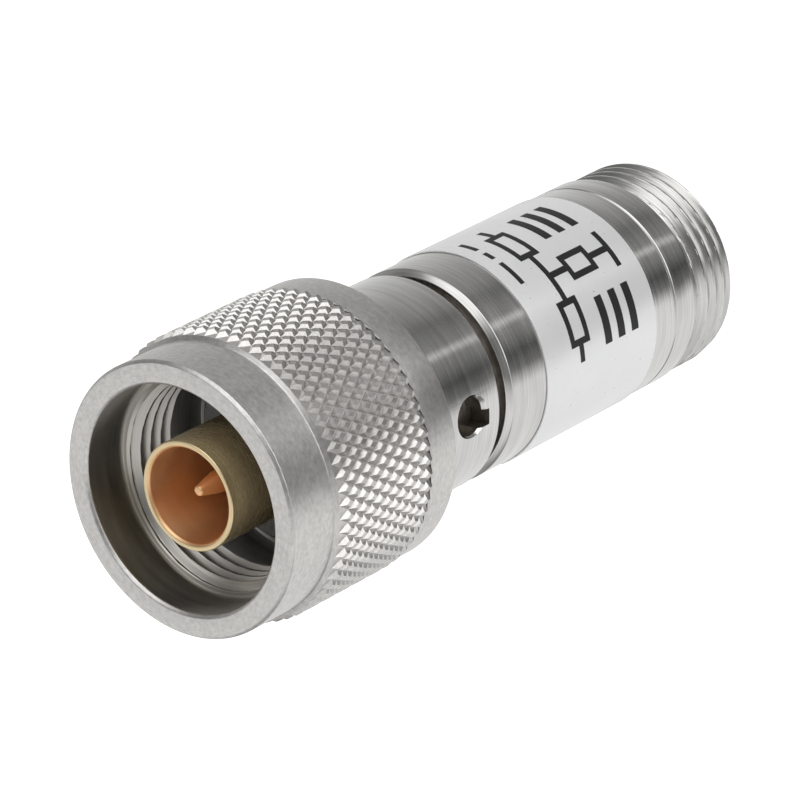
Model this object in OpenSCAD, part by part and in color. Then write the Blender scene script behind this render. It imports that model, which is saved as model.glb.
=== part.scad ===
// Coaxial fixed attenuator, plug to jack, with a free-turning coupling nut.
// It stands on its jack end with the plug up. The origin is at the centre of the jack's end face.

/* [Body] */
// Outer diameter of the body tube, the lock collar and the jack flange
body_d = 16.2; // [15.6:0.1:18]
// Length of the body tube
tube_len = 20.2; // [19.5:0.1:30]
// Chamfer on the plug end of the body tube
tube_plug_chamfer = 0.5; // [0.2:0.05:0.9]
// Chamfer on the jack end of the body tube and on the jack flange
joint_chamfer = 0.12; // [0.05:0.01:0.3]
// Wall of the body tube and the lock collar
body_wall = 1.58; // [1.4:0.02:1.9]
// Radial clearance between pieces that screw or press together
fit_clearance = 0.02; // [0.01:0.01:0.05]
// Width of the open groove between the body tube and the lock collar
groove_len = 1; // [0.3:0.05:1.5]

/* [Label] */
// Thickness of the film label
label_thickness = 0.1; // [0.05:0.01:0.2]
// Length of the label along the body tube
label_len = 13.2; // [8:0.1:16]
// Distance from the jack end of the body tube to the label
label_inset = 2.6; // [1:0.1:4]
// Angle that the label wraps round the tube
label_arc = 200; // [90:5:330]
// Direction that the middle of the label faces, from +X
label_direction = -55; // [-180:5:180]

/* [Coaxial line] */
// Inner diameter of the outer conductor
line_outer_d = 7; // [6.6:0.05:7.2]
// Diameter of the centre conductor
line_inner_d = 3.04; // [2.9:0.02:3.2]
// Diameter of the stubs and of the hub stem behind the beads
stub_d = 2; // [1.8:0.05:2.2]
// Diameter of the insulating beads
bead_d = 10; // [9.4:0.1:10.6]
// Length of the insulating beads
bead_len = 3; // [2:0.1:3.4]
// Depth of the scooped face of the beads
bead_scoop = 0.5; // [0.2:0.1:0.8]

/* [Jack] */
// Outer diameter of the jack thread, a 5/8-24 thread
thread_d = 15.875; // [15.6:0.005:16.1]
// Pitch of that thread, 24 turns to the inch
thread_pitch = 1.058; // [0.9:0.001:1.2]
// Length of the jack thread
jack_thread_len = 4.4; // [3.5:0.1:8]
// Lead chamfer at the end of the jack thread
jack_lead_chamfer = 0.45; // [0.2:0.05:0.7]
// Diameter of the thread relief behind the jack thread
jack_relief_d = 14.3; // [13.9:0.05:14.8]
// Length of the thread relief
jack_relief_len = 0.7; // [0.4:0.05:1.5]
// Length of the jack flange
jack_flange_len = 2.5; // [1.5:0.1:4]
// Length of the jack spigot inside the body tube
jack_spigot_len = 6; // [5:0.1:7]
// Diameter of the jack socket
socket_d = 8.1; // [8.05:0.01:8.2]
// Depth of the jack socket to its reference plane
socket_depth = 9.1; // [8.9:0.05:9.3]
// Diameter of the lead-in cone at the mouth of the jack socket
socket_lead_d = 9; // [8.5:0.1:9.6]
// Depth of the lead-in cone
socket_lead_depth = 0.6; // [0.3:0.1:1]
// Distance from the reference plane to the tip of the centre contact
contact_setback = 5.26; // [5.1:0.02:5.4]
// Bore of the centre contact
contact_bore_d = 1.65; // [1.6:0.01:1.75]
// Depth of that bore
contact_bore_depth = 5; // [4.8:0.1:5.6]
// Width of the slots between the contact's fingers
contact_slot_w = 0.25; // [0.15:0.05:0.4]
// Length of the slots
contact_slot_len = 4.4; // [3:0.1:4.7]

/* [Plug] */
// Length of the plug body's stem inside the body tube
plug_spigot_len = 5; // [4.5:0.1:6]
// Diameter of the bearing that the coupling nut turns on
bearing_d = 13.2; // [12.8:0.1:13.6]
// Radial clearance of the thrust flange in the nut's thread, through which it is put in
thrust_pass_clearance = 0.115; // [0.05:0.005:0.2]
// Thickness of the thrust flange inside the nut
thrust_flange_len = 1.1; // [0.8:0.1:1.4]
// Outer diameter of the plug's contact sleeve
sleeve_d = 8; // [7.9:0.02:8.04]
// Depth of the sleeve's tip behind the mouth of the nut
sleeve_setback = 0.95; // [0.5:0.05:2]
// Chamfer inside the sleeve's tip
sleeve_chamfer = 0.11; // [0.05:0.01:0.15]
// Depth of the sleeve's seat below the face of the thrust flange
sleeve_seat_depth = 5.9; // [4:0.1:7]
// Distance from the sleeve's tip to the shoulder of the centre pin
pin_shoulder_depth = 5.26; // [5.1:0.02:5.4]
// Diameter of the centre pin
pin_d = 1.6; // [1.55:0.01:1.7]
// Length of the centre pin beyond its shoulder
pin_len = 4.2; // [3.6:0.1:4.8]
// Length of the taper on the centre pin
pin_taper_len = 2; // [1:0.1:2.5]
// Diameter of the pin's blunt tip
pin_tip_d = 0.7; // [0.4:0.1:1]

/* [Lock collar] */
// Length of the lock collar
collar_len = 7.6; // [6:0.1:10]
// Diameter of the spanner hole
spanner_hole_d = 2.8; // [2:0.1:3.6]
// Distance from the body-side end of the collar to the spanner hole
spanner_hole_inset = 3.2; // [2.2:0.1:4]
// Edge chamfer of the lock collar
collar_chamfer = 0.15; // [0.1:0.05:0.4]

/* [Coupling nut] */
// Diameter of the plain front of the nut
nut_front_d = 20.1; // [19.4:0.1:20.2]
// Length of the plain front of the nut
nut_front_len = 4.55; // [2.5:0.05:6]
// Chamfer on the front edge of the nut
nut_front_chamfer = 0.1; // [0.05:0.05:0.4]
// Chamfer on the other edges of the nut and on the thrust flange
nut_chamfer = 0.3; // [0.15:0.05:0.5]
// Diameter over the knurl
knurl_d = 21.3; // [21.2:0.1:22]
// Depth of the knurl
knurl_depth = 0.44; // [0.3:0.02:0.46]
// Length of the knurl
knurl_len = 9.85; // [6:0.05:12]
// Number of knurl diamonds round the nut
knurl_count = 66; // [48:2:72]
// Slant of the knurl's grooves from the axis
knurl_slant = 29.6; // [25:0.1:40]
// Diameter of the plain band at the back of the nut
nut_band_d = 20.94; // [20.6:0.02:21.04]
// Length of the plain band
nut_band_len = 3.05; // [2:0.05:5]
// Diameter of the smooth mouth of the nut
nut_mouth_d = 16.6; // [16.2:0.05:16.8]
// Depth of the smooth mouth
nut_mouth_depth = 3.8; // [2:0.1:4.6]
// Chamfer at the mouth
nut_mouth_chamfer = 0.2; // [0.1:0.05:0.4]
// Minor diameter of the nut's thread, a 5/8-24 thread
nut_thread_minor_d = 14.73; // [14.6:0.01:15]
// Length of the nut's thread
nut_thread_len = 4.4; // [3:0.1:5]
// Chamfer at both ends of the nut's thread
nut_thread_chamfer = 0.4; // [0.2:0.05:0.6]
// Diameter of the relief between the nut's thread and its web
nut_relief_d = 16.6; // [16.3:0.1:17]
// Length of the web at the back of the nut
nut_web_len = 5.25; // [4:0.05:6]
// Running clearance round the turning nut
nut_clearance = 0.1; // [0.05:0.01:0.1]
// End gap between the nut and the lock collar
nut_rear_gap = 0.3; // [0.2:0.05:0.5]
// End gap between the nut's web and the thrust flange
nut_front_gap = 0.2; // [0.15:0.05:0.4]

/* [Resistor stack] */
// Thickness of the shunt disc
disc_thickness = 0.6; // [0.4:0.05:1]
// Diameter of the series resistor rods
rod_d = 2.4; // [2.1:0.1:3]
// Diameter of the flange on the hub of the disc
hub_flange_d = 3.4; // [2.8:0.1:4]
// Thickness of that flange
hub_flange_len = 0.4; // [0.2:0.05:0.6]
// Length of the contact bellows
bellows_len = 1; // [0.8:0.1:1.4]
// Number of folds in the bellows
bellows_folds = 3; // [2:1:4]
// Depth of the bellows' folds
bellows_depth = 0.35; // [0.2:0.05:0.45]
// Reach of the stubs into the line tubes
stub_reach = 1; // [0.7:0.1:1.4]
// Height of the spring washer
washer_height = 0.6; // [0.4:0.05:1]
// Thickness of the spring washer's metal
washer_thickness = 0.25; // [0.15:0.05:0.3]
// Width of the spring washer's ring
washer_w = 1.2; // [0.8:0.1:1.4]

/* [Hidden] */
$fn = 96;
// Overrun of a cut past the face that it opens
cut = 1;

// Levels from the jack end up
thread_top = jack_thread_len;
flange_bottom = thread_top + jack_relief_len;
tube_bottom = flange_bottom + jack_flange_len;
jack_spigot_top = tube_bottom + jack_spigot_len;
jack_bead_bottom = jack_spigot_top - bead_len;
contact_tip = socket_depth - contact_setback;
tube_top = tube_bottom + tube_len;
stem_bottom = tube_top - plug_spigot_len;
plug_bead_bottom = stem_bottom + washer_height;
plug_bead_top = plug_bead_bottom + bead_len;
collar_bottom = tube_top + groove_len;
collar_top = collar_bottom + collar_len;
nut_bottom = collar_top + nut_rear_gap;
knurl_bottom = nut_bottom + nut_band_len;
knurl_top = knurl_bottom + knurl_len;
nut_top = knurl_top + nut_front_len;
web_top = nut_bottom + nut_web_len;
thrust_bottom = web_top + nut_front_gap;
thrust_top = thrust_bottom + thrust_flange_len;
nut_thread_top = nut_top - nut_mouth_depth;
nut_thread_bottom = nut_thread_top - nut_thread_len;
sleeve_tip = nut_top - sleeve_setback;
sleeve_seat = thrust_top - sleeve_seat_depth;
pin_shoulder = sleeve_tip - pin_shoulder_depth;
pin_tip = pin_shoulder + pin_len;

// Levels in the resistor stack
line_tube_len = (stem_bottom - jack_spigot_top - disc_thickness) / 2;
disc_bottom = jack_spigot_top + line_tube_len;
disc_top = disc_bottom + disc_thickness;
rod_len = line_tube_len - stub_reach - bellows_len;
plug_rod_top = disc_top + rod_len;
plug_stub_bottom = plug_rod_top + bellows_len;
hub_bottom = disc_bottom - hub_flange_len;
jack_rod_bottom = hub_bottom - rod_len;
jack_stub_top = jack_rod_bottom - bellows_len;

// Bores that take another piece, and what goes into them
tube_bore_d = body_d - 2 * body_wall;
spigot_d = tube_bore_d - 2 * fit_clearance;
bead_pocket_d = bead_d + 2 * fit_clearance;
sleeve_bore_d = sleeve_d + 2 * fit_clearance;
stub_bore_d = stub_d + 2 * fit_clearance;
web_bore_d = bearing_d + 2 * nut_clearance;
thrust_flange_d = nut_thread_minor_d - 2 * thrust_pass_clearance;
line_tube_d = spigot_d - 2 * fit_clearance;
label_bore_d = body_d + 2 * fit_clearance;

// Knurl rows: half a diamond each, running a little way into the plain band behind the knurl
knurl_run_in = 0.37;
knurl_valley_d = knurl_d - 2 * knurl_depth;
knurl_core_margin = 0.08;
knurl_half_w = PI * knurl_valley_d / (2 * knurl_count);
knurl_rows = round((knurl_len + knurl_run_in) / (knurl_half_w / tan(knurl_slant)));
knurl_row_len = (knurl_len + knurl_run_in) / knurl_rows;

// Section of the jack thread: flanks at 60 degrees between flat crests and roots
thread_depth = 0.5413 * thread_pitch;
thread_crest_w = thread_pitch / 8;
thread_flank_w = thread_depth * tan(30);
thread_first_len = jack_lead_chamfer + thread_crest_w + thread_flank_w;
thread_ridges = 1 + floor((jack_thread_len - thread_first_len) / thread_pitch);

steel = "silver";
gold = "darkgoldenrod";
ceramic = "lightgray";

// A turned piece from its half section, as [radius, height] points
module turned(section) {
    rotate_extrude() polygon(section);
}

// A plain tube standing on a level
module tube(outer_d, inner_d, bottom, length) {
    turned([
        [inner_d / 2, bottom], [outer_d / 2, bottom],
        [outer_d / 2, bottom + length], [inner_d / 2, bottom + length]
    ]);
}

// Diamond knurl: rings of points that alternate between peak and groove crossing, flat at both ends
module knurl() {
    sides = 2 * knurl_count;
    function is_peak(row, i) = row > 0 && row < knurl_rows && (row + i) % 2 == 0;
    function radius(row, i) = (is_peak(row, i) ? knurl_d : knurl_valley_d) / 2;
    function corner(row, i) = row * sides + i % sides;
    points = [
        for (row = [0 : knurl_rows], i = [0 : sides - 1])
            let (angle = 360 * i / sides)
            [radius(row, i) * cos(angle), radius(row, i) * sin(angle), knurl_top - row * knurl_row_len]
    ];
    // Each patch is split along the groove, between its two low corners
    patches = [
        for (row = [0 : knurl_rows - 1], i = [0 : sides - 1])
            let (a = corner(row, i), b = corner(row, i + 1), c = corner(row + 1, i + 1), d = corner(row + 1, i))
            each (row + i) % 2 == 0 ? [[a, b, d], [b, c, d]] : [[a, b, c], [a, c, d]]
    ];
    front = [[for (i = [sides - 1 : -1 : 0]) corner(0, i)]];
    back = [[for (i = [0 : sides - 1]) corner(knurl_rows, i)]];
    polyhedron(points, concat(patches, front, back));
}

// Outside of the coupling nut without its knurl
module nut_blank() {
    front_r = nut_front_d / 2;
    band_r = nut_band_d / 2;
    core_r = knurl_valley_d / 2 - knurl_core_margin;
    turned([
        [0, nut_bottom], [band_r - nut_chamfer, nut_bottom], [band_r, nut_bottom + nut_chamfer],
        [band_r, knurl_bottom], [core_r, knurl_bottom], [core_r, knurl_top],
        [front_r, knurl_top + nut_chamfer], [front_r, nut_top - nut_front_chamfer],
        [front_r - nut_front_chamfer, nut_top], [0, nut_top]
    ]);
}

// Inside of the coupling nut: web bore, relief, thread at its minor diameter and smooth mouth
module nut_bore() {
    web_r = web_bore_d / 2;
    relief_r = nut_relief_d / 2;
    minor_r = nut_thread_minor_d / 2;
    mouth_r = nut_mouth_d / 2;
    turned([
        [0, nut_bottom - cut], [web_r, nut_bottom - cut], [web_r, web_top],
        [relief_r, web_top], [relief_r, nut_thread_bottom],
        [minor_r + nut_thread_chamfer, nut_thread_bottom],
        [minor_r, nut_thread_bottom + nut_thread_chamfer],
        [minor_r, nut_thread_top - nut_thread_chamfer],
        [minor_r + nut_thread_chamfer, nut_thread_top],
        [mouth_r, nut_thread_top], [mouth_r, nut_top - nut_mouth_chamfer],
        [mouth_r + nut_mouth_chamfer, nut_top], [mouth_r + nut_mouth_chamfer, nut_top + cut],
        [0, nut_top + cut]
    ]);
}

module coupling_nut() {
    color(steel)
    difference() {
        union() {
            nut_blank();
            knurl();
        }
        nut_bore();
    }
}

// Screwed on the plug body's stem behind the nut, with one hole for a pin spanner
module lock_collar() {
    bore_r = tube_bore_d / 2;
    outer_r = body_d / 2;
    color(steel)
    difference() {
        turned([
            [bore_r, collar_bottom], [outer_r - collar_chamfer, collar_bottom],
            [outer_r, collar_bottom + collar_chamfer], [outer_r, collar_top - collar_chamfer],
            [outer_r - collar_chamfer, collar_top], [bore_r, collar_top]
        ]);
        translate([0, 0, collar_bottom + spanner_hole_inset])
        rotate([90, 0, 0])
        cylinder(d = spanner_hole_d, h = outer_r + cut);
    }
}

// Stem that the body tube and the lock collar screw on, the nut's bearing and its thrust flange
module plug_body() {
    pocket_r = bead_pocket_d / 2;
    stem_r = spigot_d / 2;
    bearing_r = bearing_d / 2;
    flange_r = thrust_flange_d / 2;
    bore_r = sleeve_bore_d / 2;
    color(steel)
    turned([
        [pocket_r, stem_bottom], [stem_r, stem_bottom], [stem_r, collar_top],
        [bearing_r, collar_top], [bearing_r, thrust_bottom],
        [flange_r, thrust_bottom], [flange_r, thrust_top - nut_chamfer],
        [flange_r - nut_chamfer, thrust_top], [bore_r, thrust_top],
        [bore_r, sleeve_seat], [pocket_r, sleeve_seat]
    ]);
}

// Gold-plated sleeve that enters the mating jack, with a thick root held against the bead
module plug_outer_contact() {
    line_r = line_outer_d / 2;
    root_r = bead_d / 2;
    outer_r = sleeve_d / 2;
    color(gold)
    turned([
        [line_r, plug_bead_top], [root_r, plug_bead_top], [root_r, sleeve_seat], [outer_r, sleeve_seat],
        [outer_r, sleeve_tip], [line_r + sleeve_chamfer, sleeve_tip], [line_r, sleeve_tip - sleeve_chamfer]
    ]);
}

module plug_center_pin() {
    stub_r = stub_d / 2;
    line_r = line_inner_d / 2;
    color(gold)
    turned([
        [0, plug_stub_bottom], [stub_r, plug_stub_bottom], [stub_r, plug_bead_top],
        [line_r, plug_bead_top], [line_r, pin_shoulder], [pin_d / 2, pin_shoulder],
        [pin_d / 2, pin_tip - pin_taper_len], [pin_tip_d / 2, pin_tip], [0, pin_tip]
    ]);
}

// Insulating bead with a scooped face towards the line, which tunes out its step in diameter
module bead(bottom) {
    top = bottom + bead_len;
    inner_r = stub_bore_d / 2;
    scoop_inner_r = line_inner_d / 2 + fit_clearance;
    scoop_outer_r = line_outer_d / 2;
    turned([
        [inner_r, bottom], [bead_d / 2, bottom], [bead_d / 2, top], [scoop_outer_r, top],
        [scoop_outer_r, top - bead_scoop], [scoop_inner_r, top - bead_scoop],
        [scoop_inner_r, top], [inner_r, top]
    ]);
}

module plug_bead() {
    color("ivory") bead(plug_bead_bottom);
}

// The same bead turned over, with its scooped face towards the jack socket
module jack_bead() {
    color("ivory")
    translate([0, 0, jack_bead_bottom + jack_spigot_top])
    mirror([0, 0, 1])
    bead(jack_bead_bottom);
}

// Coned ring that presses the bead and the sleeve against their seat
module spring_washer() {
    outer_r = bead_d / 2 - fit_clearance;
    inner_r = outer_r - washer_w;
    color(steel)
    turned([
        [inner_r, plug_bead_bottom - washer_thickness], [outer_r, stem_bottom],
        [outer_r, stem_bottom + washer_thickness], [inner_r, plug_bead_bottom]
    ]);
}

module plug_line_tube() {
    color(steel) tube(line_tube_d, line_outer_d, disc_top, line_tube_len);
}

module jack_line_tube() {
    color(steel) tube(line_tube_d, line_outer_d, jack_spigot_top, line_tube_len);
}

// Springy corrugated contact between a stub and a resistor rod
module contact_bellows(bottom) {
    outer_r = stub_d / 2;
    fold_len = bellows_len / bellows_folds;
    folds = [
        for (i = [0 : bellows_folds - 1])
            each [[outer_r, bottom + i * fold_len], [outer_r - bellows_depth, bottom + (i + 0.5) * fold_len]]
    ];
    turned(concat([[0, bottom]], folds, [[outer_r, bottom + bellows_len], [0, bottom + bellows_len]]));
}

module plug_contact_bellows() {
    color(gold) contact_bellows(plug_rod_top);
}

module jack_contact_bellows() {
    color(gold) contact_bellows(jack_stub_top);
}

module plug_series_rod() {
    color(ceramic) translate([0, 0, disc_top]) cylinder(d = rod_d, h = rod_len);
}

module jack_series_rod() {
    color(ceramic) translate([0, 0, jack_rod_bottom]) cylinder(d = rod_d, h = rod_len);
}

// Film resistor disc clamped between the two line tubes
module shunt_disc() {
    color(ceramic) tube(line_tube_d, stub_bore_d, disc_bottom, disc_thickness);
}

// Flanged pin that joins the disc's bore to both rods
module disc_hub() {
    color(gold)
    turned([
        [0, hub_bottom], [hub_flange_d / 2, hub_bottom], [hub_flange_d / 2, disc_bottom],
        [stub_d / 2, disc_bottom], [stub_d / 2, disc_top], [0, disc_top]
    ]);
}

// Socket contact with four spring fingers
module jack_center_contact() {
    stub_r = stub_d / 2;
    line_r = line_inner_d / 2;
    bore_r = contact_bore_d / 2;
    bore_end = contact_tip + contact_bore_depth;
    color(gold)
    difference() {
        turned([
            [bore_r, contact_tip], [line_r, contact_tip], [line_r, jack_bead_bottom],
            [stub_r, jack_bead_bottom], [stub_r, jack_stub_top], [0, jack_stub_top],
            [0, bore_end], [bore_r, bore_end]
        ]);
        for (turn = [0, 90])
            rotate(turn)
            translate([-line_r - cut, -contact_slot_w / 2, contact_tip - cut])
            cube([2 * (line_r + cut), contact_slot_w, contact_slot_len + cut]);
    }
}

// Threaded end, flange and spigot in one turned piece, bored for the socket, the line and the bead.
// The turns of the thread are closed rings.
module jack_body() {
    thread_r = thread_d / 2;
    root_r = thread_r - thread_depth;
    relief_r = jack_relief_d / 2;
    flange_r = body_d / 2;
    spigot_r = spigot_d / 2;
    pocket_r = bead_pocket_d / 2;
    line_r = line_outer_d / 2;
    socket_r = socket_d / 2;
    ridges = [
        for (i = [0 : thread_ridges - 1])
            let (
                crest = jack_lead_chamfer + i * thread_pitch,
                root = crest + thread_crest_w + thread_flank_w,
                root_end = min(crest + thread_pitch - thread_flank_w, thread_top)
            )
            each [[thread_r, crest], [thread_r, crest + thread_crest_w], [root_r, root], [root_r, root_end]]
    ];
    color(steel)
    turned([
        [socket_lead_d / 2, 0], [thread_r - jack_lead_chamfer, 0], each ridges,
        [relief_r, thread_top], [relief_r, flange_bottom],
        [flange_r - joint_chamfer, flange_bottom], [flange_r, flange_bottom + joint_chamfer],
        [flange_r, tube_bottom - joint_chamfer], [flange_r - joint_chamfer, tube_bottom],
        [spigot_r, tube_bottom], [spigot_r, jack_spigot_top], [pocket_r, jack_spigot_top],
        [pocket_r, jack_bead_bottom], [line_r, jack_bead_bottom], [line_r, socket_depth],
        [socket_r, socket_depth], [socket_r, socket_lead_depth]
    ]);
}

module body_tube() {
    bore_r = tube_bore_d / 2;
    outer_r = body_d / 2;
    color(steel)
    turned([
        [bore_r, tube_bottom], [outer_r - joint_chamfer, tube_bottom],
        [outer_r, tube_bottom + joint_chamfer], [outer_r, tube_top - tube_plug_chamfer],
        [outer_r - tube_plug_chamfer, tube_top], [bore_r, tube_top]
    ]);
}

// Bare film wrapped part of the way round the body tube
module film_label() {
    color("whitesmoke")
    rotate(label_direction - label_arc / 2)
    rotate_extrude(angle = label_arc)
    translate([label_bore_d / 2, tube_bottom + label_inset])
    square([label_thickness, label_len]);
}

coupling_nut();
lock_collar();
plug_body();
plug_outer_contact();
plug_center_pin();
plug_bead();
spring_washer();
plug_line_tube();
plug_contact_bellows();
plug_series_rod();
shunt_disc();
disc_hub();
jack_series_rod();
jack_contact_bellows();
jack_line_tube();
jack_bead();
jack_center_contact();
jack_body();
body_tube();
film_label();
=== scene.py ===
"""Looks of a coaxial fixed attenuator: turned steel, gold-plated contacts and a white film label.

Lengths are in millimetres, and levels count up from the jack's end face, unless a comment says otherwise.
"""

import logging
import math
from collections.abc import Callable
from dataclasses import dataclass, field, replace
from enum import Enum
from typing import Any

import bmesh
import bpy
from bpy.types import Material, Node, NodeSocket, NodeTree, Object
from mathutils import Matrix, Vector


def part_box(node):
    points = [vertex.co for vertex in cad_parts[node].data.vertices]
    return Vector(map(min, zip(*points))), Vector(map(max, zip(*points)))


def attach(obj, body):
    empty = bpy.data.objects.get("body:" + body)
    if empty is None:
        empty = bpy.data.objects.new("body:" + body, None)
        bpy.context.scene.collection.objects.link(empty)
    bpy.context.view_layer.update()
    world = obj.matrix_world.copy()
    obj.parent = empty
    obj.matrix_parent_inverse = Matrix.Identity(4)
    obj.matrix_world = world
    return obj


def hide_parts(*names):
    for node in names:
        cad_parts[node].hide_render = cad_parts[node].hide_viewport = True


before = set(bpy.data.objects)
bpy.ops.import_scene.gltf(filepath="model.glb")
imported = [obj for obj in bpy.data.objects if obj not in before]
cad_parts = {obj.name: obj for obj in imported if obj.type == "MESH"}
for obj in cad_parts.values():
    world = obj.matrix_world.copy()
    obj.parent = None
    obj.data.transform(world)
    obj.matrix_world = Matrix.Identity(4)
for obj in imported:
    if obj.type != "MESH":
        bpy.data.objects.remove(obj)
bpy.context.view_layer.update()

LOG = logging.getLogger("attenuator")
MM = 0.001
FULL_TURN = 2 * math.pi
# Merging distance for the seam of a turned piece, in metres
WELD = 1e-6
# Tolerance for picking vertices by their place
PICK = 2e-3
# Steps of a plain turned piece, fine enough for a smooth outline
TURN_STEPS = 192
# Straight pieces of a rounded corner, and the largest share of an edge that its rounding takes
ARC_STEPS = 3
ARC_SHARE = 0.45
# Edges between faces that meet more sharply than this stay crisp
CRISP_ANGLE = math.radians(32)
# Smallest and largest radius of the coupling thread
THREAD_MINOR_R = 7.365
THREAD_MAJOR_R = 7.9375
# Where nearly all values of a noise lie, and of the sum of two noises
NOISE_RANGE = {"From Min": 0.3, "From Max": 0.7}
SUM_RANGE = {"From Min": 0.72, "From Max": 1.28}
# Colour sockets of the Mix node: its two inputs and its output
MIX_A = 6
MIX_B = 7
MIX_OUT = 2
# Share of a turn that lays a stretched highlight across the turning marks
ACROSS_MARKS = 0.25


class Body(Enum):
    """Bodies of the frame that pieces ride on."""

    ATTENUATOR = "attenuator"
    NUT = "nut"


class Slot(Enum):
    """Material slots of the record, passed along with new pieces."""

    STEEL = "steel"
    GOLD = "gold_plating"
    LABEL = "label_film"


def linear(hex_colour: str) -> tuple[float, float, float, float]:
    """Turns an sRGB hex colour, with its leading hash, into linear RGBA with an alpha of one."""
    def channel(start: int) -> float:
        """Linear value of the two digits from start."""
        value = int(hex_colour[start:start + 2], 16) / 255
        return value / 12.92 if value <= 0.04045 else ((value + 0.055) / 1.055) ** 2.4
    return channel(1), channel(3), channel(5), 1.0


def add_node(
    tree: NodeTree,
    kind: str,
    inputs: dict[Any, Any] | None = None,
    **settings: Any,
) -> Node:
    """Adds a shader node with its settings, and links or sets its inputs.

    Args:
        tree: Node tree that takes the node.
        kind: Node type without its "ShaderNode" beginning.
        inputs: Socket name or index to a value, or to an output socket to link.
        **settings: Properties of the node.

    Returns:
        The new node.
    """
    made = tree.nodes.new("ShaderNode" + kind)
    for name, value in settings.items():
        setattr(made, name, value)
    for name, value in (inputs or {}).items():
        if isinstance(value, NodeSocket):
            tree.links.new(value, made.inputs[name])
        else:
            made.inputs[name].default_value = value
    return made


def mix_colours(tree: NodeTree, share: NodeSocket, first: Any, second: Any) -> NodeSocket:
    """Mixes two colours, each a value or an output socket, by the share of the second."""
    inputs = {"Factor": share, MIX_A: first, MIX_B: second}
    return add_node(tree, "Mix", inputs, data_type="RGBA").outputs[MIX_OUT]


def add_surface(tree: NodeTree, inputs: dict[str, Any]) -> None:
    """Ends the tree of a material with a principled shader that has those inputs."""
    shader = add_node(tree, "BsdfPrincipled", inputs)
    add_node(tree, "OutputMaterial", {"Surface": shader.outputs[0]})


def new_material(name: str) -> Material:
    """An empty node material of that name."""
    material = bpy.data.materials.new(name)
    material.use_nodes = True
    material.node_tree.nodes.clear()
    return material


def turning_marks(tree: NodeTree, pitch_mm: float, wander: float) -> NodeSocket:
    """Noise drawn out round the Z axis, as a lathe tool leaves it.

    Args:
        tree: Node tree of the material.
        pitch_mm: Typical width of one mark.
        wander: How much the marks change on their way round; 0 gives perfect rings.

    Returns:
        The noise value, from 0 to 1.
    """
    place = add_node(tree, "TexCoord").outputs["Object"]
    split = add_node(tree, "SeparateXYZ", {0: place})
    flat = add_node(tree, "VectorMath", {0: place, 1: (1, 1, 0)}, operation="MULTIPLY")
    radius = add_node(tree, "VectorMath", {0: flat.outputs[0]}, operation="LENGTH")
    unit = add_node(tree, "VectorMath", {0: flat.outputs[0]}, operation="NORMALIZE")
    facing = add_node(tree, "SeparateXYZ", {0: unit.outputs[0]})
    spot = add_node(
        tree, "CombineXYZ",
        {"X": radius.outputs["Value"], "Y": split.outputs["Z"], "Z": facing.outputs["X"]},
    )
    per_metre = 1 / (pitch_mm * MM)
    vector = add_node(
        tree, "VectorMath", {0: spot.outputs[0], 1: (per_metre, per_metre, wander)}, operation="MULTIPLY"
    )
    front = add_node(tree, "Math", {0: facing.outputs["Y"], 1: wander}, operation="MULTIPLY")
    noise = add_node(
        tree, "TexNoise",
        {"Vector": vector.outputs[0], "W": front.outputs[0], "Scale": 1.0, "Detail": 2.0},
        noise_dimensions="4D",
    )
    return noise.outputs["Fac"]


@dataclass(frozen=True)
class TurnedMetal:
    """Metal from the lathe, bare or plated: satin, with fine rings that stretch highlights.

    Bare metal shows lines and bands in its relief. Plating fills the bands, which only tint it.
    """

    name: str
    dark: str = "#c1c0be"
    light: str = "#dbdad8"
    roughness: float = 0.14
    roughness_spread: float = 0.08
    anisotropy: float = 0.75
    line_mm: float = 0.16
    band_mm: float = 0.75
    relief_mm: float = 0.012
    wander: float = 1.1
    # The wide bands wander that many times as much as the fine lines
    band_wander: float = 1.5
    plated: bool = False

    def material(self) -> Material:
        """A new material with this finish."""
        made = new_material(self.name)
        tree = made.node_tree
        lines = turning_marks(tree, self.line_mm, self.wander)
        bands = turning_marks(tree, self.band_mm, self.band_wander * self.wander)
        marks, tint, gloss = lines, bands, lines
        if not self.plated:
            marks = add_node(tree, "Math", {0: lines, 1: bands}, operation="ADD").outputs[0]
            tint = add_node(tree, "MapRange", {"Value": marks, **SUM_RANGE}).outputs[0]
            gloss = bands
        colour = mix_colours(tree, tint, linear(self.dark), linear(self.light))
        half = self.roughness_spread / 2
        rough = add_node(
            tree, "MapRange",
            {
                "Value": gloss, **NOISE_RANGE,
                "To Min": self.roughness - half, "To Max": self.roughness + half,
            },
        )
        bump = add_node(tree, "Bump", {"Height": marks, "Strength": 1.0, "Distance": self.relief_mm * MM})
        round_axis = add_node(tree, "Tangent", direction_type="RADIAL", axis="Z")
        add_surface(tree, {
            "Base Color": colour, "Metallic": 1.0, "Roughness": rough.outputs[0],
            "Normal": bump.outputs[0], "Tangent": round_axis.outputs[0],
            "Anisotropic": self.anisotropy, "Anisotropic Rotation": ACROSS_MARKS,
        })
        return made


# Gold plating over turned brass: warm and polished, with faint rings and a slight reddish cast
GOLD_PLATE = TurnedMetal(
    "gold_plated_brass", dark="#f4bb85", light="#ffdcae", roughness=0.43, roughness_spread=0.12,
    anisotropy=0.7, line_mm=0.14, band_mm=2.4, relief_mm=0.004, wander=0.9, band_wander=5 / 3, plated=True,
)


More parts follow.
